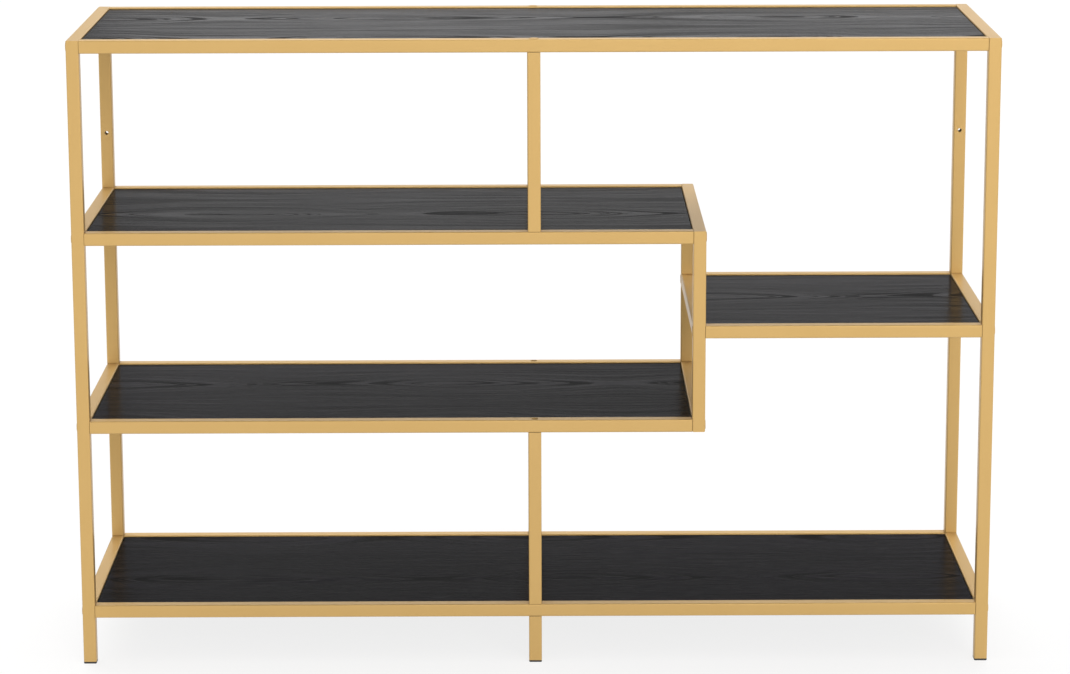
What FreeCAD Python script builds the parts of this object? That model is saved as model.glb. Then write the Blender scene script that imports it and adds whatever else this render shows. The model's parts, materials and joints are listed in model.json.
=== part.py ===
"""Staircase bookshelf: a square steel tube frame that carries five wood-grain panels.

Millimetres. +X runs to the right, +Y to the back, +Z up. The origin is on the floor, under the middle
of the frame. Left, step and right are the three upright frames; top, upper, side, lower and bottom are
the five shelves. A shelf's level is the height of its rails' top faces.
"""

import FreeCAD, Part
import os
import re
import Sketcher

# Driving dimensions
SIZES = {
    # frame
    "overall_width": 1140.0,
    "overall_depth": 350.0,
    "leg_clearance": 60.0,
    "shelf_pitch": 238.0,
    "side_shelf_rise": 119.0,
    "upper_span": 750.0,
    "tube_size": 16.0,
    "tube_wall": 1.2,
    "tube_radius": 1.5,
    # wall fixing
    "wall_hole": 5.0,
    "wall_hole_drop": 165.0,
    # shelf panels and the tabs that carry them
    "panel_recess": 1.5,
    "panel_gap": 1.0,
    "panel_edge": 0.5,
    "tab_rise": 0.5,
    "tab_thickness": 2.0,
    "tab_length": 22.0,
    "tab_reach": 16.0,
    "tab_corner": 3.0,
    "tab_inset": 110.0,
    # panel screws
    "screw_diameter": 3.5,
    "screw_cover": 4.0,
    "screw_tip": 2.0,
    "screw_head_diameter": 7.0,
    "screw_head_height": 2.0,
    "screw_head_round": 0.8,
    "recess_width": 3.6,
    "recess_slot": 0.9,
    "recess_depth": 1.0,
    # frame bolts, their holes and nut plates
    "bolt_diameter": 5.0,
    "bolt_length": 12.0,
    "bolt_head_room": 2.6,
    "bolt_head_height": 5.0,
    "bolt_chamfer": 0.5,
    "socket_size": 4.0,
    "socket_depth": 2.5,
    "nut_plate_thickness": 2.5,
    "nut_width": 8.0,
    "nut_height": 4.0,
    # hole plugs
    "plug_border": 0.5,
    "plug_height": 0.6,
    "plug_chamfer": 0.3,
    "plug_skirt": 3.0,
    "plug_wall": 1.0,
    # foot caps
    "cap_base": 2.5,
    "cap_chamfer": 0.6,
    "cap_stem": 10.0,
    # clearances
    "fit_clearance": 0.1,
    "thread_clearance": 0.05,
    "bolt_clearance": 0.25,
    "head_clearance": 0.3,
}

# Sizes and places worked out from the driving dimensions
CLEARANCE_HOLE = "(bolt_diameter + 2 * bolt_clearance)"
THREAD_HOLE = "(bolt_diameter + 2 * thread_clearance)"
# A bolt's head stands clear of the tube's inside all round
BOLT_HEAD = "(tube_size - 2 * tube_wall - 2 * bolt_head_room)"
ACCESS_HOLE = f"({BOLT_HEAD} + 2 * head_clearance)"
# The flange of a plug lies on the flat of the tube's face, inside a narrow border
PLUG_FLANGE = "(tube_size - 2 * tube_radius - 2 * plug_border)"
# A panel fills the height of its rails, from its recess at the top down to the tabs
PANEL_THICKNESS = "(tube_size - panel_recess - tab_thickness - tab_rise)"
SCREW_LENGTH = f"(tab_thickness + {PANEL_THICKNESS} - screw_cover)"
TUBE_INSIDE = "(tube_size - 2 * tube_wall - 2 * fit_clearance)"
INNER_DEPTH = "(overall_depth - 2 * tube_size)"
FULL_SPAN = "(overall_width - 2 * tube_size)"
SIDE_SPAN = "(overall_width - 3 * tube_size - upper_span)"
CENTRE_FROM_RAIL_END = "(overall_width / 2 - tube_size)"

LEFT_OUTER = "(-overall_width / 2)"
LEFT_INNER = "(-overall_width / 2 + tube_size)"
STEP_LEFT = "(-overall_width / 2 + tube_size + upper_span)"
STEP_RIGHT = "(-overall_width / 2 + 2 * tube_size + upper_span)"
RIGHT_INNER = "(overall_width / 2 - tube_size)"
RIGHT_OUTER = "(overall_width / 2)"

LEVEL = {
    "bottom": "(leg_clearance + tube_size)",
    "lower": "(leg_clearance + tube_size + shelf_pitch)",
    "side": "(leg_clearance + tube_size + shelf_pitch + side_shelf_rise)",
    "upper": "(leg_clearance + tube_size + 2 * shelf_pitch)",
    "top": "(leg_clearance + tube_size + 3 * shelf_pitch)",
}
# Middle of the front and back rows of tubes
ROW = {
    "front": "(-overall_depth / 2 + tube_size / 2)",
    "back": "(overall_depth / 2 - tube_size / 2)",
}
# Each upright frame: its left and right faces, the foot of its posts, its levels from the top down
FRAMES = {
    "left": (LEFT_OUTER, LEFT_INNER, "cap_base", ["top", "upper", "lower", "bottom"]),
    "step": (STEP_LEFT, STEP_RIGHT, f"({LEVEL['lower']} - tube_size)", ["upper", "side", "lower"]),
    "right": (RIGHT_INNER, RIGHT_OUTER, "cap_base", ["top", "side", "bottom"]),
}
# Each shelf: the face its rails start from, its clear span
SHELVES = {
    "top": (LEFT_INNER, FULL_SPAN),
    "upper": (LEFT_INNER, "upper_span"),
    "lower": (LEFT_INNER, "upper_span"),
    "side": (STEP_RIGHT, SIDE_SPAN),
    "bottom": (LEFT_INNER, FULL_SPAN),
}
# Shelves that have a tab halfway along each rail, besides the two near its ends
MIDDLE_TAB = {"top", "upper", "lower", "bottom"}
# Mitred corners of the upright frames: the levels where posts and depth rails meet at 45 degrees
MITRED = {("left", "top"), ("right", "top"), ("step", "upper"), ("step", "lower")}

Z_AXIS = FreeCAD.Vector(0, 0, 1)
DIRECTION = {
    "+x": FreeCAD.Vector(1, 0, 0),
    "-x": FreeCAD.Vector(-1, 0, 0),
    "+z": FreeCAD.Vector(0, 0, 1),
    "-z": FreeCAD.Vector(0, 0, -1),
}
# Turns that lay a tube made along Z along X (its own Y is then up) or along Y (its own X is then up)
CUBE_DIAGONAL = FreeCAD.Vector(1, 1, 1)
TUBE_TURN = {
    "x": FreeCAD.Rotation(CUBE_DIAGONAL, 120),
    "y": FreeCAD.Rotation(CUBE_DIAGONAL, 240),
    "z": FreeCAD.Rotation(),
}

doc = FreeCAD.newDocument("StaircaseBookshelf")
sheet = doc.addObject("Spreadsheet::Sheet", "Sizes")
for row, (alias, amount) in enumerate(SIZES.items(), start=1):
    sheet.set(f"A{row}", alias)
    sheet.set(f"B{row}", str(amount))
    sheet.setAlias(f"B{row}", alias)
doc.recompute()

parts = []


def cells(text):
    """Turn size names into references to the sheet's cells."""
    return re.sub(r"[a-z_]+", lambda word: f"Sizes.{word[0]}" if word[0] in SIZES else word[0], text)


def number(text):
    """Value of an expression in size names."""
    return float(sheet.evalExpression(cells(text)))


# Sketches and features

def new_sketch(body, role, name, lift=None):
    """Sketch on one of the body's origin planes, lifted along the plane's normal if asked."""
    sketch = body.newObject("Sketcher::SketchObject", name)
    plane = next(feature for feature in body.Origin.OriginFeatures if feature.Role == role)
    sketch.AttachmentSupport = [(plane, "")]
    sketch.MapMode = "FlatFace"
    if lift:
        sketch.setExpression("AttachmentOffset.Base.z", cells(lift))
    return sketch


def pin_point(sketch, geometry, vertex, across, along):
    """Hold one point of a sketch at a distance from the sketch's origin."""
    for kind, text in (("DistanceX", across), ("DistanceY", along)):
        rule = Sketcher.Constraint(kind, -1, 1, geometry, vertex, number(text))
        index = sketch.addConstraint(rule)
        sketch.setExpression(f"Constraints[{index}]", cells(text))


def draw_polygon(sketch, points):
    """Closed outline through the given points."""
    corners = [FreeCAD.Vector(number(across), number(along), 0) for across, along in points]
    sides = []
    for start, end in zip(corners, corners[1:] + corners[:1]):
        sides.append(sketch.addGeometry(Part.LineSegment(start, end), False))
    for side, following in zip(sides, sides[1:] + sides[:1]):
        sketch.addConstraint(Sketcher.Constraint("Coincident", side, 2, following, 1))
    for side, (across, along) in zip(sides, points):
        pin_point(sketch, side, 1, across, along)


def draw_rectangle(sketch, width, height):
    """Rectangle about the sketch's origin."""
    x, y = f"({width}) / 2", f"({height}) / 2"
    draw_polygon(sketch, [(f"-{x}", f"-{y}"), (x, f"-{y}"), (x, y), (f"-{x}", y)])


def draw_hexagon(sketch, width):
    """Hexagon about the sketch's origin, measured across its flats."""
    corner, half_side, flat = f"{width} / sqrt(3)", f"{width} / sqrt(12)", f"{width} / 2"
    draw_polygon(sketch, [
        (corner, "0"), (half_side, flat), (f"-{half_side}", flat),
        (f"-{corner}", "0"), (f"-{half_side}", f"-{flat}"), (half_side, f"-{flat}"),
    ])


def draw_circle(sketch, across, along, diameter):
    centre = FreeCAD.Vector(number(across), number(along), 0)
    circle = sketch.addGeometry(Part.Circle(centre, Z_AXIS, number(diameter) / 2), False)
    pin_point(sketch, circle, 3, across, along)
    index = sketch.addConstraint(Sketcher.Constraint("Diameter", circle, number(diameter)))
    sketch.setExpression(f"Constraints[{index}]", cells(diameter))


def pad(body, sketch, length):
    feature = body.newObject("PartDesign::Pad", f"{sketch.Name}_pad")
    feature.Profile = sketch
    feature.setExpression("Length", cells(length))
    return feature


def pocket(body, sketch, depth=None, both_sides=False, reverse=False):
    """Cut a sketch to a depth, or right through when no depth is given."""
    feature = body.newObject("PartDesign::Pocket", f"{sketch.Name}_cut")
    feature.Profile = sketch
    feature.Reversed = reverse
    if both_sides:
        feature.SideType = "Symmetric"
    if depth:
        feature.setExpression("Length", cells(depth))
    else:
        feature.Type = "ThroughAll"
    return feature


def revolve(body, sketch):
    feature = body.newObject("PartDesign::Revolution", f"{sketch.Name}_turned")
    feature.Profile = sketch
    feature.ReferenceAxis = (sketch, ["V_Axis"])
    feature.Angle = 360
    return feature


def round_edges(body, base, radius, wanted, kind="PartDesign::Fillet"):
    """Round or chamfer the edges of a feature that pass a test."""
    doc.recompute()
    names = [f"Edge{index}" for index, edge in enumerate(base.Shape.Edges, start=1) if wanted(edge)]
    feature = body.newObject(kind, f"{base.Name}_edges")
    feature.Base = (base, names)
    feature.setExpression("Radius" if kind == "PartDesign::Fillet" else "Size", cells(radius))
    return feature


def is_upright(edge):
    return abs(edge.tangentAt(edge.FirstParameter).z) > 0.99


def new_body(label, place=("0", "0", "0"), turn=FreeCAD.Rotation()):
    body = doc.addObject("PartDesign::Body", label)
    body.Label = label
    body.Placement = FreeCAD.Placement(FreeCAD.Vector(), turn)
    hold_at(body, place)
    return body


def hold_at(item, place):
    for axis, text in zip("xyz", place):
        item.setExpression(f"Placement.Base.{axis}", cells(text))


# Square tubes

def make_tube(label, along, start, length):
    """Square tube whose axis starts at a point and runs along X, Y or Z."""
    body = new_body(label, start, TUBE_TURN[along])
    outside = new_sketch(body, "XY_Plane", f"{label}_outside")
    draw_rectangle(outside, "tube_size", "tube_size")
    bar = pad(body, outside, length)
    round_edges(body, bar, "tube_radius", is_upright)
    inside = new_sketch(body, "XY_Plane", f"{label}_inside")
    draw_rectangle(inside, "tube_size - 2 * tube_wall", "tube_size - 2 * tube_wall")
    pocket(body, inside, reverse=True)
    parts.append(body)
    return body


def cut_mitre(body, role, name, end, outward, long_side):
    """Cut a tube's end at 45 degrees; end is its place along the tube, long_side the sign of its tip."""
    tip = f"{long_side} * 1.5 * tube_size"
    heel = f"{-long_side} * 1.5 * tube_size"
    past_end = f"{end} + {outward} * tube_size"
    sketch = new_sketch(body, role, f"{body.Name}_{name}")
    draw_polygon(sketch, [(tip, past_end), (heel, past_end), (heel, f"{end} - {outward} * 2 * tube_size")])
    pocket(body, sketch, both_sides=True)


def cut_hole(body, across, name, along, diameter, wall):
    """Round hole on a tube's middle line, across its own X or Y, in the + wall, the - wall or both."""
    role = {"x": "YZ_Plane", "y": "XZ_Plane"}[across]
    sketch = new_sketch(body, role, f"{body.Name}_{name}")
    draw_circle(sketch, "0", along, diameter)
    # the normal of the YZ plane is +X, that of the XZ plane is -Y, and a cut runs against the normal
    towards_plus = {"x": True, "y": False}[across]
    pocket(body, sketch, both_sides=wall == "both", reverse=(wall == "+") == towards_plus)


def cut_bolt_holes(body, across, name, along, head_wall):
    """Access hole for a bolt's head in one wall and a clearance hole for its shank in the other."""
    cut_hole(body, across, f"{name}_access", along, ACCESS_HOLE, head_wall)
    shank_wall = "-" if head_wall == "+" else "+"
    cut_hole(body, across, f"{name}_shank", along, CLEARANCE_HOLE, shank_wall)


def rail_side(frame, level):
    """Wall of a frame's post that a shelf's long rails meet: the right wall where the rails start there."""
    return "+" if SHELVES[level][0] == FRAMES[frame][1] else "-"


def head_side(frame, level):
    """Wall of the post that the bolt's head goes in by, opposite the rails."""
    return "-" if rail_side(frame, level) == "+" else "+"


def make_posts():
    """The six posts of the upright frames, with their bolt, mitre and wall-fixing cuts."""
    for frame, (left_face, right_face, foot, levels) in FRAMES.items():
        length = f"({LEVEL[levels[0]]} - {foot})"
        for row, row_y in ROW.items():
            start = (f"({left_face} + {right_face}) / 2", row_y, foot)
            post = make_tube(f"{frame}_{row}_post", "z", start, length)
            outer = -1 if row == "front" else 1
            for level in levels:
                height = f"{LEVEL[level]} - tube_size / 2 - {foot}"
                cut_bolt_holes(post, "x", level, height, head_side(frame, level))
            cut_mitre(post, "YZ_Plane", "top_mitre", length, 1, outer)
            if (frame, levels[-1]) in MITRED:
                cut_mitre(post, "YZ_Plane", "foot_mitre", "0", -1, outer)
            if row == "back" and frame != "step":
                height = f"{LEVEL['top']} - wall_hole_drop - {foot}"
                cut_hole(post, "y", "wall_fixing", height, "wall_hole", "both")


def make_depth_rails():
    """Rails from front to back: mitred ones over the full depth, the others between the posts."""
    for frame, (left_face, right_face, foot, levels) in FRAMES.items():
        for level in levels:
            mitred = (frame, level) in MITRED
            length = "overall_depth" if mitred else INNER_DEPTH
            height = f"{LEVEL[level]} - tube_size / 2"
            start = (f"({left_face} + {right_face}) / 2", f"-({length}) / 2", height)
            rail = make_tube(f"{frame}_{level}_depth_rail", "y", start, length)
            if not mitred:
                continue
            tip = 1 if level == levels[0] else -1
            cut_mitre(rail, "XZ_Plane", "front_mitre", "0", -1, tip)
            cut_mitre(rail, "XZ_Plane", "back_mitre", length, 1, tip)
            for row, along in (("front", "tube_size / 2"), ("back", f"{length} - tube_size / 2")):
                cut_bolt_holes(rail, "y", row, along, head_side(frame, level))


def make_long_rails():
    """Front and back rails of the five shelves, with the holes of the centre posts' bolts."""
    for shelf, (start_face, span) in SHELVES.items():
        for row, row_y in ROW.items():
            start = (start_face, row_y, f"{LEVEL[shelf]} - tube_size / 2")
            rail = make_tube(f"{shelf}_{row}_rail", "x", start, span)
            if shelf in ("top", "lower"):
                cut_bolt_holes(rail, "y", "centre", CENTRE_FROM_RAIL_END, "+")
            if shelf == "upper":
                cut_bolt_holes(rail, "y", "centre", CENTRE_FROM_RAIL_END, "-")
            if shelf == "bottom":
                cut_hole(rail, "y", "centre_stud", CENTRE_FROM_RAIL_END, CLEARANCE_HOLE, "both")


def make_centre_posts():
    """Posts and legs halfway along, between and below the long rails."""
    for row, row_y in ROW.items():
        bay = "(shelf_pitch - tube_size)"
        make_tube(f"upper_{row}_centre_post", "z", ("0", row_y, LEVEL["upper"]), bay)
        make_tube(f"lower_{row}_centre_post", "z", ("0", row_y, LEVEL["bottom"]), bay)
        make_tube(f"{row}_centre_leg", "z", ("0", row_y, "cap_base"), "(leg_clearance - cap_base)")


# Shelf panels

SCREW_FROM_RAIL = "(panel_gap + tab_reach) / 2"


def tab_offsets(shelf):
    """Places of the tabs along a shelf's rail, from the middle of the shelf."""
    outer = f"({SHELVES[shelf][1]} / 2 - tab_inset)"
    return [f"-{outer}", "0", outer] if shelf in MIDDLE_TAB else [f"-{outer}", outer]


def panel_underside(shelf):
    return f"({LEVEL[shelf]} - panel_recess - {PANEL_THICKNESS})"


def shelf_middle(shelf):
    start_face, span = SHELVES[shelf]
    return f"({start_face} + {span} / 2)"


def make_panels():
    """Boards let in between the rails, with pilot holes for their screws underneath."""
    for shelf, (start_face, span) in SHELVES.items():
        body = new_body(f"{shelf}_panel", (shelf_middle(shelf), "0", panel_underside(shelf)))
        outline = new_sketch(body, "XY_Plane", f"{shelf}_panel_outline")
        draw_rectangle(outline, f"{span} - 2 * panel_gap", f"{INNER_DEPTH} - 2 * panel_gap")
        board = pad(body, outline, PANEL_THICKNESS)
        round_edges(body, board, "panel_edge", lambda edge: True)
        pilots = new_sketch(body, "XY_Plane", f"{shelf}_panel_pilots")
        screw_row = f"({INNER_DEPTH} / 2 - {SCREW_FROM_RAIL})"
        for offset in tab_offsets(shelf):
            for sign in ("-", ""):
                hole = "screw_diameter + 2 * thread_clearance"
                draw_circle(pilots, offset, f"{sign}{screw_row}", hole)
        pocket(body, pilots, depth=f"{SCREW_LENGTH} - tab_thickness + thread_clearance", reverse=True)
        parts.append(body)


# Masters of the repeated small pieces, each made once at the origin

def make_bolt_master():
    """Socket head bolt along +Z, its head's seat at zero."""
    body = new_body("bolt_master")
    profile = new_sketch(body, "XZ_Plane", "bolt_profile")
    shank, head = "bolt_diameter / 2", f"{BOLT_HEAD} / 2"
    draw_polygon(profile, [
        ("0", "-bolt_head_height"), (f"{head} - bolt_chamfer", "-bolt_head_height"),
        (head, "-bolt_head_height + bolt_chamfer"), (head, "0"), (shank, "0"),
        (shank, "bolt_length - bolt_chamfer"), (f"{shank} - bolt_chamfer", "bolt_length"),
        ("0", "bolt_length"),
    ])
    revolve(body, profile)
    socket = new_sketch(body, "XY_Plane", "bolt_socket", lift="-bolt_head_height")
    draw_hexagon(socket, "socket_size")
    pocket(body, socket, depth="socket_depth", reverse=True)
    return body


def make_stud_master():
    """Plain stud along +Z from zero, long enough for a bottom rail and a nut plate on each side."""
    body = new_body("stud_master")
    profile = new_sketch(body, "XZ_Plane", "stud_profile")
    radius = "bolt_diameter / 2"
    length = "tube_size + 2 * (nut_plate_thickness + nut_height)"
    draw_polygon(profile, [
        ("0", "0"), (f"{radius} - bolt_chamfer", "0"), (radius, "bolt_chamfer"),
        (radius, f"{length} - bolt_chamfer"), (f"{radius} - bolt_chamfer", length), ("0", length),
    ])
    revolve(body, profile)
    return body


def make_nut_master():
    """Square plate flush with a tube's end at zero, with a hexagon nut behind it."""
    body = new_body("nut_master")
    plate = new_sketch(body, "XY_Plane", "nut_plate")
    draw_rectangle(plate, TUBE_INSIDE, TUBE_INSIDE)
    pad(body, plate, "nut_plate_thickness")
    nut = new_sketch(body, "XY_Plane", "nut_hexagon", lift="nut_plate_thickness")
    draw_hexagon(nut, "nut_width")
    pad(body, nut, "nut_height")
    thread = new_sketch(body, "XY_Plane", "nut_thread")
    draw_circle(thread, "0", "0", THREAD_HOLE)
    pocket(body, thread, reverse=True)
    return body


def make_plug_master():
    """Round plug: flange outside the tube above zero, thin skirt inside the hole below it."""
    body = new_body("plug_master")
    profile = new_sketch(body, "XZ_Plane", "plug_profile")
    skirt, flange = f"({ACCESS_HOLE} / 2 - fit_clearance)", f"{PLUG_FLANGE} / 2"
    draw_polygon(profile, [
        ("0", "0"), (f"{skirt} - plug_wall", "0"), (f"{skirt} - plug_wall", "-plug_skirt"),
        (f"{skirt} - plug_chamfer", "-plug_skirt"), (skirt, "-plug_skirt + plug_chamfer"),
        (skirt, "0"), (flange, "0"), (flange, "plug_height - plug_chamfer"),
        (f"{flange} - plug_chamfer", "plug_height"), ("0", "plug_height"),
    ])
    revolve(body, profile)
    return body


def make_cap_master():
    """Foot cap: a base as wide as the tube on the floor, and a stem that goes up into the leg."""
    body = new_body("cap_master")
    foot = new_sketch(body, "XY_Plane", "cap_foot")
    draw_rectangle(foot, "tube_size", "tube_size")
    base = pad(body, foot, "cap_base")
    rounded = round_edges(body, base, "tube_radius", is_upright)
    mid_height = number("cap_base / 2")
    round_edges(body, rounded, "cap_chamfer",
                lambda edge: edge.BoundBox.ZMax < mid_height, "PartDesign::Chamfer")
    stem = new_sketch(body, "XY_Plane", "cap_stem_outline", lift="cap_base")
    draw_rectangle(stem, TUBE_INSIDE, TUBE_INSIDE)
    pad(body, stem, "cap_stem")
    return body


def make_tab_master():
    """Flat tab: its weld edge on Y zero, its top face at zero, a screw hole under the panel."""
    body = new_body("tab_master")
    outline = new_sketch(body, "XY_Plane", "tab_outline", lift="-tab_thickness")
    half = "tab_length / 2"
    draw_polygon(outline, [(f"-{half}", "0"), (half, "0"), (half, "tab_reach"), (f"-{half}", "tab_reach")])
    plate = pad(body, outline, "tab_thickness")
    mid_reach = number("tab_reach / 2")
    round_edges(body, plate, "tab_corner", lambda edge: is_upright(edge) and edge.BoundBox.YMin > mid_reach)
    hole = new_sketch(body, "XY_Plane", "tab_hole")
    draw_circle(hole, "0", SCREW_FROM_RAIL, "screw_diameter + 2 * bolt_clearance")
    pocket(body, hole)
    return body


def make_screw_master():
    """Pan head screw along +Z, its head's seat at zero, with a cross recess in the head."""
    body = new_body("screw_master")
    profile = new_sketch(body, "XZ_Plane", "screw_profile")
    shank, head = "screw_diameter / 2", "screw_head_diameter / 2"
    draw_polygon(profile, [
        ("0", "-screw_head_height"), (f"{head} - screw_head_round", "-screw_head_height"),
        (head, "-screw_head_height + screw_head_round"), (head, "0"), (shank, "0"),
        (shank, f"{SCREW_LENGTH} - screw_tip"), ("0", SCREW_LENGTH),
    ])
    revolve(body, profile)
    slots = {"across": ("recess_width", "recess_slot"), "along": ("recess_slot", "recess_width")}
    for name, (width, height) in slots.items():
        slot = new_sketch(body, "XY_Plane", f"screw_recess_{name}", lift="-screw_head_height")
        draw_rectangle(slot, width, height)
        pocket(body, slot, depth="recess_depth", reverse=True)
    return body


# Groups of repeated pieces

def place_group(label, master, places):
    """One sub-part of separate solids: copies of a master, each at a point and with a turn."""
    copies = []
    for index, (place, turn) in enumerate(places, start=1):
        copy = doc.addObject("App::Link", f"{label}_{index}")
        copy.LinkedObject = master
        copy.Placement = FreeCAD.Placement(FreeCAD.Vector(), turn)
        hold_at(copy, place)
        copies.append(copy)
    group = doc.addObject("Part::Compound", label)
    group.Label = label
    group.Links = copies
    parts.append(group)


def pointing(direction):
    """Turn that points a piece made along +Z another way."""
    return FreeCAD.Rotation(Z_AXIS, DIRECTION[direction])


def place_rail_joints():
    """Bolts, nut plates and plugs where the long rails meet the posts."""
    bolts, nuts, plugs = [], [], []
    for frame, (left_face, right_face, foot, levels) in FRAMES.items():
        for level in levels:
            height = f"{LEVEL[level]} - tube_size / 2"
            to_right = rail_side(frame, level) == "+"
            rail_face, head_face = (right_face, left_face) if to_right else (left_face, right_face)
            inward, outward = ("+x", "-x") if to_right else ("-x", "+x")
            seat = f"{rail_face} - tube_wall" if to_right else f"{rail_face} + tube_wall"
            for row_y in ROW.values():
                bolts.append(((seat, row_y, height), pointing(inward)))
                nuts.append(((rail_face, row_y, height), pointing(inward)))
                plugs.append(((head_face, row_y, height), pointing(outward)))
    for row_y in ROW.values():
        plugs.append((("0", row_y, LEVEL["top"]), pointing("+z")))
    place_group("rail_bolts", bolt, bolts)
    place_group("rail_end_nuts", nut, nuts)
    place_group("bolt_hole_plugs", plug, plugs)


def place_centre_joints():
    """Bolts, studs and nut plates at the ends of the centre posts and legs."""
    bolts, nuts, studs = [], [], []
    under_bottom = f"{LEVEL['bottom']} - tube_size"
    for row_y in ROW.values():
        for shelf in ("top", "lower"):
            underside = f"{LEVEL[shelf]} - tube_size"
            bolts.append((("0", row_y, f"{underside} + tube_wall"), pointing("-z")))
            nuts.append((("0", row_y, underside), pointing("-z")))
        bolts.append((("0", row_y, f"{LEVEL['upper']} - tube_wall"), pointing("+z")))
        nuts.append((("0", row_y, LEVEL["upper"]), pointing("+z")))
        nuts.append((("0", row_y, LEVEL["bottom"]), pointing("+z")))
        nuts.append((("0", row_y, under_bottom), pointing("-z")))
        stud_foot = f"{under_bottom} - nut_plate_thickness - nut_height"
        studs.append((("0", row_y, stud_foot), pointing("+z")))
    place_group("centre_post_bolts", bolt, bolts)
    place_group("centre_post_nuts", nut, nuts)
    place_group("centre_leg_studs", stud, studs)


def place_panel_fixings():
    """Tabs on the long rails of each shelf, and the screws that go up through them."""
    inner_face = {"front": f"-{INNER_DEPTH} / 2", "back": f"{INNER_DEPTH} / 2"}
    turn = {"front": FreeCAD.Rotation(), "back": FreeCAD.Rotation(Z_AXIS, 180)}
    screw_y = {"front": f"-{INNER_DEPTH} / 2 + {SCREW_FROM_RAIL}",
               "back": f"{INNER_DEPTH} / 2 - {SCREW_FROM_RAIL}"}
    screws = []
    for shelf in SHELVES:
        tab_places = []
        for offset in tab_offsets(shelf):
            x = f"{shelf_middle(shelf)} + {offset}"
            for row in ROW:
                tab_places.append(((x, inner_face[row], panel_underside(shelf)), turn[row]))
                seat = f"{panel_underside(shelf)} - tab_thickness"
                screws.append(((x, screw_y[row], seat), pointing("+z")))
        place_group(f"{shelf}_panel_tabs", tab, tab_places)
    place_group("panel_screws", screw, screws)


def place_foot_caps():
    """Caps under the corner posts and the centre legs."""
    columns = [f"({LEFT_OUTER} + {LEFT_INNER}) / 2", "0", f"({RIGHT_INNER} + {RIGHT_OUTER}) / 2"]
    places = [((x, row_y, "0"), FreeCAD.Rotation()) for x in columns for row_y in ROW.values()]
    place_group("foot_caps", cap, places)


make_posts()
make_depth_rails()
make_long_rails()
make_centre_posts()
make_panels()

bolt = make_bolt_master()
stud = make_stud_master()
nut = make_nut_master()
plug = make_plug_master()
cap = make_cap_master()
tab = make_tab_master()
screw = make_screw_master()
doc.recompute()

place_rail_joints()
place_centre_joints()
place_panel_fixings()
place_foot_caps()
doc.recompute()

# Nothing is written unless every object and every sub-part is sound
for item in doc.Objects:
    if "Invalid" in item.State or "Error" in item.State:
        raise RuntimeError(f"{item.Label} failed: {item.State}")
for part in parts:
    if part.Shape.isNull() or not part.Shape.isValid() or not part.Shape.Solids:
        raise RuntimeError(f"{part.Label} has no sound shape")

os.makedirs("parts", exist_ok=True)
for part in parts:
    part.Shape.exportStep(f"parts/{part.Label}.step")
    print(part.Label, len(part.Shape.Solids), round(part.Shape.Volume, 1))
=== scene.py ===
"""Looks of the staircase bookshelf: satin gold tubes, black wood-grain shelves, a plain white studio.

Metres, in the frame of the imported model: +X to the right, +Y to the back, +Z up.
"""

import json
import math
import bpy
from mathutils import Euler, Matrix, Vector

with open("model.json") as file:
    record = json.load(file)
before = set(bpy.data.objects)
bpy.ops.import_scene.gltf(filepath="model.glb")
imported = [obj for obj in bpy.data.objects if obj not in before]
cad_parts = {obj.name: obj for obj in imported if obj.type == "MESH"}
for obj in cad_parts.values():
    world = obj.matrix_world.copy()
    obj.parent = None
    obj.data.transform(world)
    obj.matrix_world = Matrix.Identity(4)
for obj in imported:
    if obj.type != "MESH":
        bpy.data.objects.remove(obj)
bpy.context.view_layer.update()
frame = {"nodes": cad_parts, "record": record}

MM = 0.001


def grey(level):
    return (level, level, level, 1.0)


# Camera: where the photograph was taken from, turned down towards the middle of the frame
CAMERA_PLACE = Vector((-0.013, -4.500, 1.347))
CAMERA_PITCH = math.radians(12.10)
CAMERA_YAW = math.radians(0.178)
CAMERA_ROLL = math.radians(0.160)
CAMERA_LENS = 120.2
SENSOR_WIDTH = 36.0

# Light: a white room, a low lamp in front and a high wide one behind
ROOM_LEVEL = 0.67
LAMPS = {
    "front_lamp": {"source": Vector((0.30, -1.00, 0.25)), "strength": 1.27, "spread": math.radians(35)},
    "back_lamp": {"source": Vector((-0.10, 0.65, 0.77)), "strength": 1.85, "spread": math.radians(60)},
}

# Backdrop: white along the floor, dimmer high up and past its left edge
# The Z and X of a direction say where the dimmer parts begin and where they are full
BACKDROP_FADE = (0.206, 0.275)
BACKDROP_HIGH = 0.12
BACKDROP_FOOT = (0.06, 0.10)
BACKDROP_LEFT_EDGE = (-0.106, -0.120)
BACKDROP_LEFT = 0.30

# Floor: mostly white by itself with the shadow laid over it, and light grey in the light it throws back
FLOOR_RADIUS = 60.0
FLOOR_SIDES = 96
FLOOR_GLOW = 0.82
FLOOR_SHADE = 0.18
FLOOR_BOUNCE = 0.70

# Colours, linear
GOLD = (0.605, 0.388, 0.141, 1.0)
GOLD_PALE = (0.644, 0.420, 0.161, 1.0)
PLUG_GOLD = (0.577, 0.364, 0.128, 1.0)
# painted shade: the darker gold laid into seams and creases between parts
GOLD_SEAM_SHADE = (0.300, 0.165, 0.045, 1.0)
WOOD_DARK = (0.0036, 0.0033, 0.0040, 1.0)
WOOD_LIGHT = (0.0245, 0.0230, 0.0268, 1.0)
ZINC = (0.520, 0.530, 0.550, 1.0)
ZINC_BLUE = (0.440, 0.465, 0.510, 1.0)
BLACK_PLASTIC = (0.0110, 0.0110, 0.0115, 1.0)
BLACK_PLASTIC_WORN = (0.0170, 0.0170, 0.0175, 1.0)
WHITE = grey(1.0)


# Short way to write node trees

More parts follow.
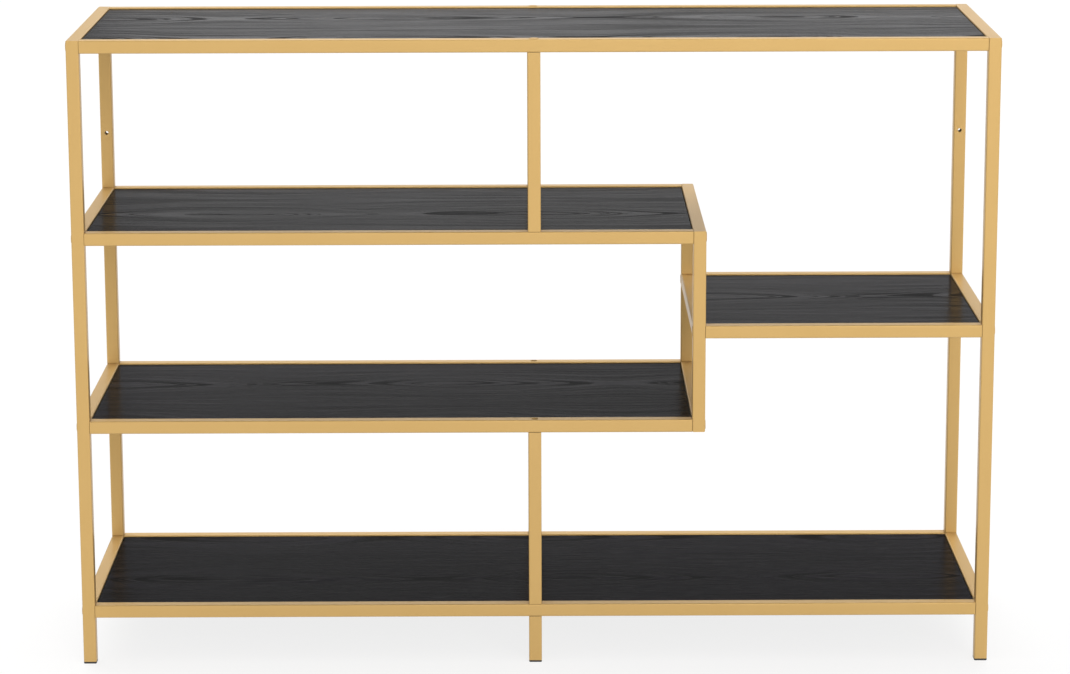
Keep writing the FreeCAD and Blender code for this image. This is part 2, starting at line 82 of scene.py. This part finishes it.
class Graph:
    """Node tree whose nodes are added in one call; an input takes a value or another node's output."""

    def __init__(self, tree):
        self.tree = tree
        tree.nodes.clear()

    def add(self, kind, inputs=None, **settings):
        node = self.tree.nodes.new(f"ShaderNode{kind}")
        for name, value in settings.items():
            setattr(node, name, value)
        for name, value in (inputs or {}).items():
            if isinstance(value, bpy.types.NodeSocket):
                self.tree.links.new(value, node.inputs[name])
            else:
                node.inputs[name].default_value = value
        return node

    def place(self):
        """Where a point lies on the object."""
        return self.add("TexCoord").outputs["Object"]

    def math(self, operation, first, second=0.0):
        node = self.add("Math", {0: first, 1: second}, operation=operation)
        return node.outputs["Value"]

    def product(self, first, second):
        return self.math("MULTIPLY", first, second)

    def total(self, first, *others):
        for other in others:
            first = self.math("ADD", first, other)
        return first

    def spread(self, value, low, high):
        """Stretch a value from 0..1 to low..high."""
        node = self.add("MapRange", {"Value": value, "To Min": low, "To Max": high})
        return node.outputs["Result"]

    def step(self, value, start, end):
        """Soft step: 0 at the start value, 1 at the end value."""
        node = self.add("MapRange", {"Value": value, "From Min": start, "From Max": end})
        return node.outputs["Result"]

    def mix(self, factor, first, second):
        """Blend of two colours: inputs 6 and 7 of the node, and its output 2."""
        node = self.add("Mix", {0: factor, 6: first, 7: second}, data_type="RGBA")
        return node.outputs[2]

    def noise(self, vector, scale, detail=2.0, roughness=0.5):
        values = {"Vector": vector, "Scale": scale, "Detail": detail, "Roughness": roughness}
        return self.add("TexNoise", values).outputs["Fac"]

    def stretched_noise(self, vector, scale, **settings):
        """Noise whose scale is given for each axis."""
        node = self.add("VectorMath", {0: vector, 1: scale}, operation="MULTIPLY")
        return self.noise(node.outputs["Vector"], 1.0, **settings)

    def moved(self, vector, offset):
        node = self.add("VectorMath", {0: vector, 1: offset}, operation="ADD")
        return node.outputs["Vector"]

    def point(self, x=0.0, y=0.0):
        return self.add("CombineXYZ", {"X": x, "Y": y}).outputs["Vector"]

    def axes(self, vector):
        """The vector's parts, by the names X, Y and Z."""
        return self.add("SeparateXYZ", {"Vector": vector}).outputs

    def bump(self, height, distance, below=None):
        values = {"Height": height, "Distance": distance, "Strength": 1.0}
        if below:
            values["Normal"] = below
        return self.add("Bump", values).outputs["Normal"]


def new_material(name):
    material = bpy.data.materials.new(name)
    material.use_nodes = True
    return material, Graph(material.node_tree)


def finish_material(graph, **inputs):
    """Principled surface from inputs whose names have underscores for spaces."""
    values = {name.replace("_", " "): value for name, value in inputs.items()}
    surface = graph.add("BsdfPrincipled", values)
    graph.add("OutputMaterial", {"Surface": surface.outputs["BSDF"]})


# Materials: patterns in features per metre, and roughness as a pair, for where its pattern is 0 and 1

# Gold finishes: their share of metal flake, and a weak gloss
GOLD_FLAKE = 0.30
GOLD_IOR = 1.15

# Powder coat
COAT_MOTTLE = 14.0
COAT_GRIT = 2600.0
COAT_PEEL = 620.0
GRIT_SHARE = 0.25
GRIT_HEIGHT = 0.01 * MM
PEEL_HEIGHT = 0.05 * MM
COAT_ROUGHNESS = (0.26, 0.36)

# Painted shade in the seams and creases between parts: how near a neighbour closes them in, and how open
# they are where the painted shade is full and where it is gone
SEAM_SHADE_REACH = 2.0 * MM
SEAM_SHADE_OPENNESS = (0.30, 0.85)
SEAM_SHADE_SAMPLES = 8


def make_gold_coat():
    """Satin powder coat: fine orange peel, faint mottling of tone and gloss, and painted shade darkening
    the seams and creases between parts.
    """
    material, graph = new_material("gold_powder_coat")
    place = graph.place()
    mottle = graph.noise(place, COAT_MOTTLE, detail=3.0)
    grit = graph.noise(place, COAT_GRIT, detail=1.0)
    peel = graph.noise(place, COAT_PEEL)
    tone = graph.total(graph.product(mottle, 1.0 - GRIT_SHARE), graph.product(grit, GRIT_SHARE))
    # painted shade: an ambient occlusion mask darkens the gold where neighbouring parts close in
    seam_shade = graph.add("AmbientOcclusion", {"Distance": SEAM_SHADE_REACH}, samples=SEAM_SHADE_SAMPLES)
    clear = graph.step(seam_shade.outputs["AO"], *SEAM_SHADE_OPENNESS)
    finish_material(
        graph,
        Base_Color=graph.mix(clear, GOLD_SEAM_SHADE, graph.mix(tone, GOLD, GOLD_PALE)),
        Metallic=GOLD_FLAKE,
        Roughness=graph.spread(peel, *COAT_ROUGHNESS),
        IOR=GOLD_IOR,
        Normal=graph.bump(peel, PEEL_HEIGHT, below=graph.bump(grit, GRIT_HEIGHT)),
    )
    return material


# Plugs
PLUG_MOTTLE = 180.0
PLUG_GRAIN = 1900.0
PLUG_GRAIN_HEIGHT = 0.02 * MM
PLUG_ROUGHNESS = (0.32, 0.44)


def make_plug_plastic():
    """Moulded gold plastic, a little duller than the coat."""
    material, graph = new_material("gold_plug_plastic")
    place = graph.place()
    mottle = graph.noise(place, PLUG_MOTTLE)
    grain = graph.noise(place, PLUG_GRAIN)
    finish_material(
        graph,
        Base_Color=graph.mix(mottle, PLUG_GOLD, GOLD),
        Metallic=GOLD_FLAKE,
        Roughness=graph.spread(grain, *PLUG_ROUGHNESS),
        IOR=GOLD_IOR,
        Normal=graph.bump(grain, PLUG_GRAIN_HEIGHT),
    )
    return material


# Foot caps
FOOT_SCUFF = 260.0
FOOT_GRAIN = 2200.0
FOOT_GRAIN_HEIGHT = 0.03 * MM
FOOT_ROUGHNESS = (0.45, 0.62)
FOOT_IOR = 1.5


def make_foot_plastic():
    """Matt black plastic with a fine moulded grain."""
    material, graph = new_material("black_foot_plastic")
    place = graph.place()
    scuff = graph.noise(place, FOOT_SCUFF, detail=4.0)
    grain = graph.noise(place, FOOT_GRAIN)
    finish_material(
        graph,
        Base_Color=graph.mix(scuff, BLACK_PLASTIC, BLACK_PLASTIC_WORN),
        Roughness=graph.spread(scuff, *FOOT_ROUGHNESS),
        IOR=FOOT_IOR,
        Normal=graph.bump(grain, FOOT_GRAIN_HEIGHT),
    )
    return material


# Bolts, nut plates and screws
ZINC_PATCH = 210.0
ZINC_TURNING = (400.0, 400.0, 2400.0)
ZINC_TURNING_HEIGHT = 0.01 * MM
ZINC_ROUGHNESS = (0.28, 0.46)


def make_zinc_steel():
    """Zinc-plated steel with a faint blue cast in patches."""
    material, graph = new_material("zinc_steel")
    place = graph.place()
    patch = graph.noise(place, ZINC_PATCH, detail=3.0)
    turned = graph.stretched_noise(place, ZINC_TURNING)
    finish_material(
        graph,
        Base_Color=graph.mix(patch, ZINC, ZINC_BLUE),
        Metallic=1.0,
        Roughness=graph.spread(turned, *ZINC_ROUGHNESS),
        Normal=graph.bump(turned, ZINC_TURNING_HEIGHT),
    )
    return material


# Wood grain: features per metre along it and across it
BANDS = (0.9, 42.0, 1.0)
STREAKS = (3.0, 150.0, 1.0)
FIBRES = (5.0, 480.0, 1.0)
PORES = (22.0, 1250.0, 1.0)
WAVES = (3.0, 10.0, 1.0)

# How far the grain's slow waves go to either side, and how strong the finest streaks and fibres are
WAVE_HEIGHT = 0.012
FINE_ROUGHNESS = 0.6

# Rings of the trunk: they come to a point along rows, RING_ROW apart, and POINT_RADIUS rounds that point
RING_ROW = 0.198
HALF_ROW = RING_ROW / 2
POINT_RADIUS = 0.003

# The cut rises and falls through the rings along the board: radians per metre, and radians of wander
RISE_HEIGHT = 0.040
RISE_TURN = 15.0
RISE_WANDER = 5.0
WANDERS = (2.2, 4.0, 1.0)

# Along a row contrast is stronger: how far from it that begins and is full
ROW_REACH = (0.018, 0.004)

# Values of the streaks and the pore pattern where dark marks and open pores begin and are full
MARK_EDGE = (0.49, 0.42)
PORE_EDGE = (0.60, 0.68)

# What each pattern adds to the wood's paleness where it is 0 and 1, and what pores and marks take away
BAND_PALENESS = (-0.30, 0.75)
STREAK_PALENESS = (-0.95, 1.30)
FIBRE_PALENESS = (-0.55, 0.65)
ROW_PALENESS = (-2.6, 3.0)
PORE_DARKNESS = 0.25
MARK_DARKNESS = 1.0

# Embossing and gloss of the laminate, which is duller where it is dark and in the marks
STREAK_HEIGHT = 0.200 * MM
MARK_DEPTH = 0.120 * MM
PORE_DEPTH = 0.020 * MM
FIBRE_DEPTH = 0.030 * MM
WOOD_ROUGHNESS = (0.30, 0.085)
MARK_ROUGHNESS = 0.09
WOOD_IOR = 1.043

# Where on the pattern each panel is cut from
PANEL_SHIFTS = {
    "top": (0.31, 0.145),
    "upper": (0.94, 0.035),
    "side": (1.62, -0.013),
    "lower": (2.37, -0.036),
    "bottom": (3.05, 0.051),
}


def make_panel_wood(shelf):
    """Black wood-grain laminate of one shelf, grain along X."""
    material, graph = new_material(f"wood_{shelf}")
    shift_x, shift_y = PANEL_SHIFTS[shelf]
    board = graph.moved(graph.place(), (shift_x, shift_y, 0.0))

    # the grain runs in slow waves
    wave = graph.spread(graph.stretched_noise(board, WAVES), -WAVE_HEIGHT, WAVE_HEIGHT)
    grain = graph.moved(board, graph.point(y=wave))
    axes = graph.axes(grain)
    along = axes["X"]

    # rings: straight lines far from a row, nested points on it
    from_row = graph.math("PINGPONG", axes["Y"], HALF_ROW)
    wander = graph.product(graph.stretched_noise(board, WANDERS), RISE_WANDER)
    turn = graph.total(graph.product(along, RISE_TURN), wander)
    rise = graph.product(graph.step(graph.math("SINE", turn), -1.0, 1.0), RISE_HEIGHT)
    spot = graph.point(from_row, POINT_RADIUS)
    radius = graph.add("VectorMath", {0: spot}, operation="LENGTH").outputs["Value"]
    ring = graph.total(radius, graph.product(rise, graph.step(from_row, HALF_ROW, 0.0)))
    rings = graph.point(along, ring)

    # bands and streaks follow the rings; fibres and open pores run straight on
    band = graph.stretched_noise(rings, BANDS)
    streak = graph.stretched_noise(rings, STREAKS, detail=3.0, roughness=FINE_ROUGHNESS)
    fibre = graph.stretched_noise(grain, FIBRES, roughness=FINE_ROUGHNESS)
    pore = graph.step(graph.stretched_noise(grain, PORES, detail=1.0), *PORE_EDGE)
    near_row = graph.step(from_row, *ROW_REACH)
    mark = graph.product(near_row, graph.step(streak, *MARK_EDGE))

    paleness = graph.total(
        graph.spread(band, *BAND_PALENESS),
        graph.spread(streak, *STREAK_PALENESS),
        graph.spread(fibre, *FIBRE_PALENESS),
        graph.product(pore, -PORE_DARKNESS),
        graph.product(near_row, graph.spread(streak, *ROW_PALENESS)),
        graph.product(mark, -MARK_DARKNESS),
    )
    paleness = graph.add("Clamp", {"Value": paleness}).outputs["Result"]

    # embossing: raised pale streaks, sunken marks, fine fibres and pores
    height = graph.total(
        graph.product(streak, STREAK_HEIGHT),
        graph.product(mark, -MARK_DEPTH),
        graph.product(pore, -PORE_DEPTH),
        graph.product(fibre, -FIBRE_DEPTH),
    )
    roughness = graph.total(graph.spread(paleness, *WOOD_ROUGHNESS), graph.product(mark, MARK_ROUGHNESS))
    finish_material(
        graph,
        Base_Color=graph.mix(paleness, WOOD_DARK, WOOD_LIGHT),
        Roughness=roughness,
        IOR=WOOD_IOR,
        Normal=graph.bump(height, 1.0),
    )
    return material


def dress_nodes():
    """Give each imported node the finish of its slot."""
    finishes = {
        "gold_frame": make_gold_coat(),
        "plug_plastic": make_plug_plastic(),
        "foot_plastic": make_foot_plastic(),
        "fastener_steel": make_zinc_steel(),
    }
    slots = {part["node"]: part["material_slot"] for part in frame["record"]["subparts"]}
    for name, node in frame["nodes"].items():
        if slots[name] == "panel_wood":
            material = make_panel_wood(name.removesuffix("_panel"))
        else:
            material = finishes[slots[name]]
        node.data.materials[0] = material


# Studio

def seen_ray(graph):
    """1 for rays that show the surroundings: from the camera, by reflection or through glass."""
    path = graph.add("LightPath")
    seen = graph.math("MAXIMUM", path.outputs["Is Camera Ray"], path.outputs["Is Glossy Ray"])
    return graph.math("MAXIMUM", seen, path.outputs["Is Transmission Ray"])


def make_floor():
    """Round floor that shows nearly white and keeps a soft shadow."""
    bpy.ops.mesh.primitive_circle_add(vertices=FLOOR_SIDES, radius=FLOOR_RADIUS, fill_type="NGON")
    floor = bpy.context.object
    floor.name = "studio_floor"
    material, graph = new_material("studio_white")
    bounce = graph.add("BsdfDiffuse", {"Color": grey(FLOOR_BOUNCE)}).outputs["BSDF"]
    glow = graph.add("Emission", {"Color": WHITE, "Strength": FLOOR_GLOW}).outputs["Emission"]
    shade = graph.add("BsdfDiffuse", {"Color": grey(FLOOR_SHADE)}).outputs["BSDF"]
    shown = graph.add("AddShader", {0: glow, 1: shade}).outputs["Shader"]
    surface = graph.add("MixShader", {0: seen_ray(graph), 1: bounce, 2: shown})
    graph.add("OutputMaterial", {"Surface": surface.outputs["Shader"]})
    floor.data.materials.append(material)


def make_room():
    """Surroundings: plain light on the object, and a white backdrop where they are seen."""
    world = bpy.data.worlds.new("studio_room")
    world.use_nodes = True
    graph = Graph(world.node_tree)
    direction = graph.axes(graph.add("TexCoord").outputs["Generated"])
    high = graph.step(direction["Z"], *BACKDROP_FADE)
    above_foot = graph.step(direction["Z"], *BACKDROP_FOOT)
    left = graph.product(graph.step(direction["X"], *BACKDROP_LEFT_EDGE), above_foot)
    shown = graph.product(graph.spread(high, 1.0, BACKDROP_HIGH), graph.spread(left, 1.0, BACKDROP_LEFT))
    level = graph.spread(seen_ray(graph), ROOM_LEVEL, shown)
    room = graph.add("Background", {"Color": WHITE, "Strength": level})
    graph.add("OutputWorld", {"Surface": room.outputs["Background"]})
    bpy.context.scene.world = world


def add_lamp(name, source, strength, spread):
    """Wide, soft, distant lamp that shines from a direction."""
    lamp = bpy.data.lights.new(name, "SUN")
    lamp.energy = strength
    lamp.angle = spread
    holder = bpy.data.objects.new(name, lamp)
    holder.rotation_mode = "QUATERNION"
    holder.rotation_quaternion = source.to_track_quat("Z", "Y")
    bpy.context.scene.collection.objects.link(holder)


def add_camera():
    """Camera that looks along +Y, turned by its pitch, yaw and roll."""
    lens = bpy.data.cameras.new("photo_camera")
    lens.lens = CAMERA_LENS
    lens.sensor_width = SENSOR_WIDTH
    camera = bpy.data.objects.new("photo_camera", lens)
    aim = Euler((math.radians(90) - CAMERA_PITCH, 0.0, -CAMERA_YAW)).to_matrix()
    turn = aim @ Matrix.Rotation(-CAMERA_ROLL, 3, "Z")
    camera.matrix_world = Matrix.Translation(CAMERA_PLACE) @ turn.to_4x4()
    bpy.context.scene.collection.objects.link(camera)
    bpy.context.scene.camera = camera


dress_nodes()
make_floor()
make_room()
for name, settings in LAMPS.items():
    add_lamp(name, **settings)
add_camera()
bpy.context.scene.view_settings.view_transform = "Standard"
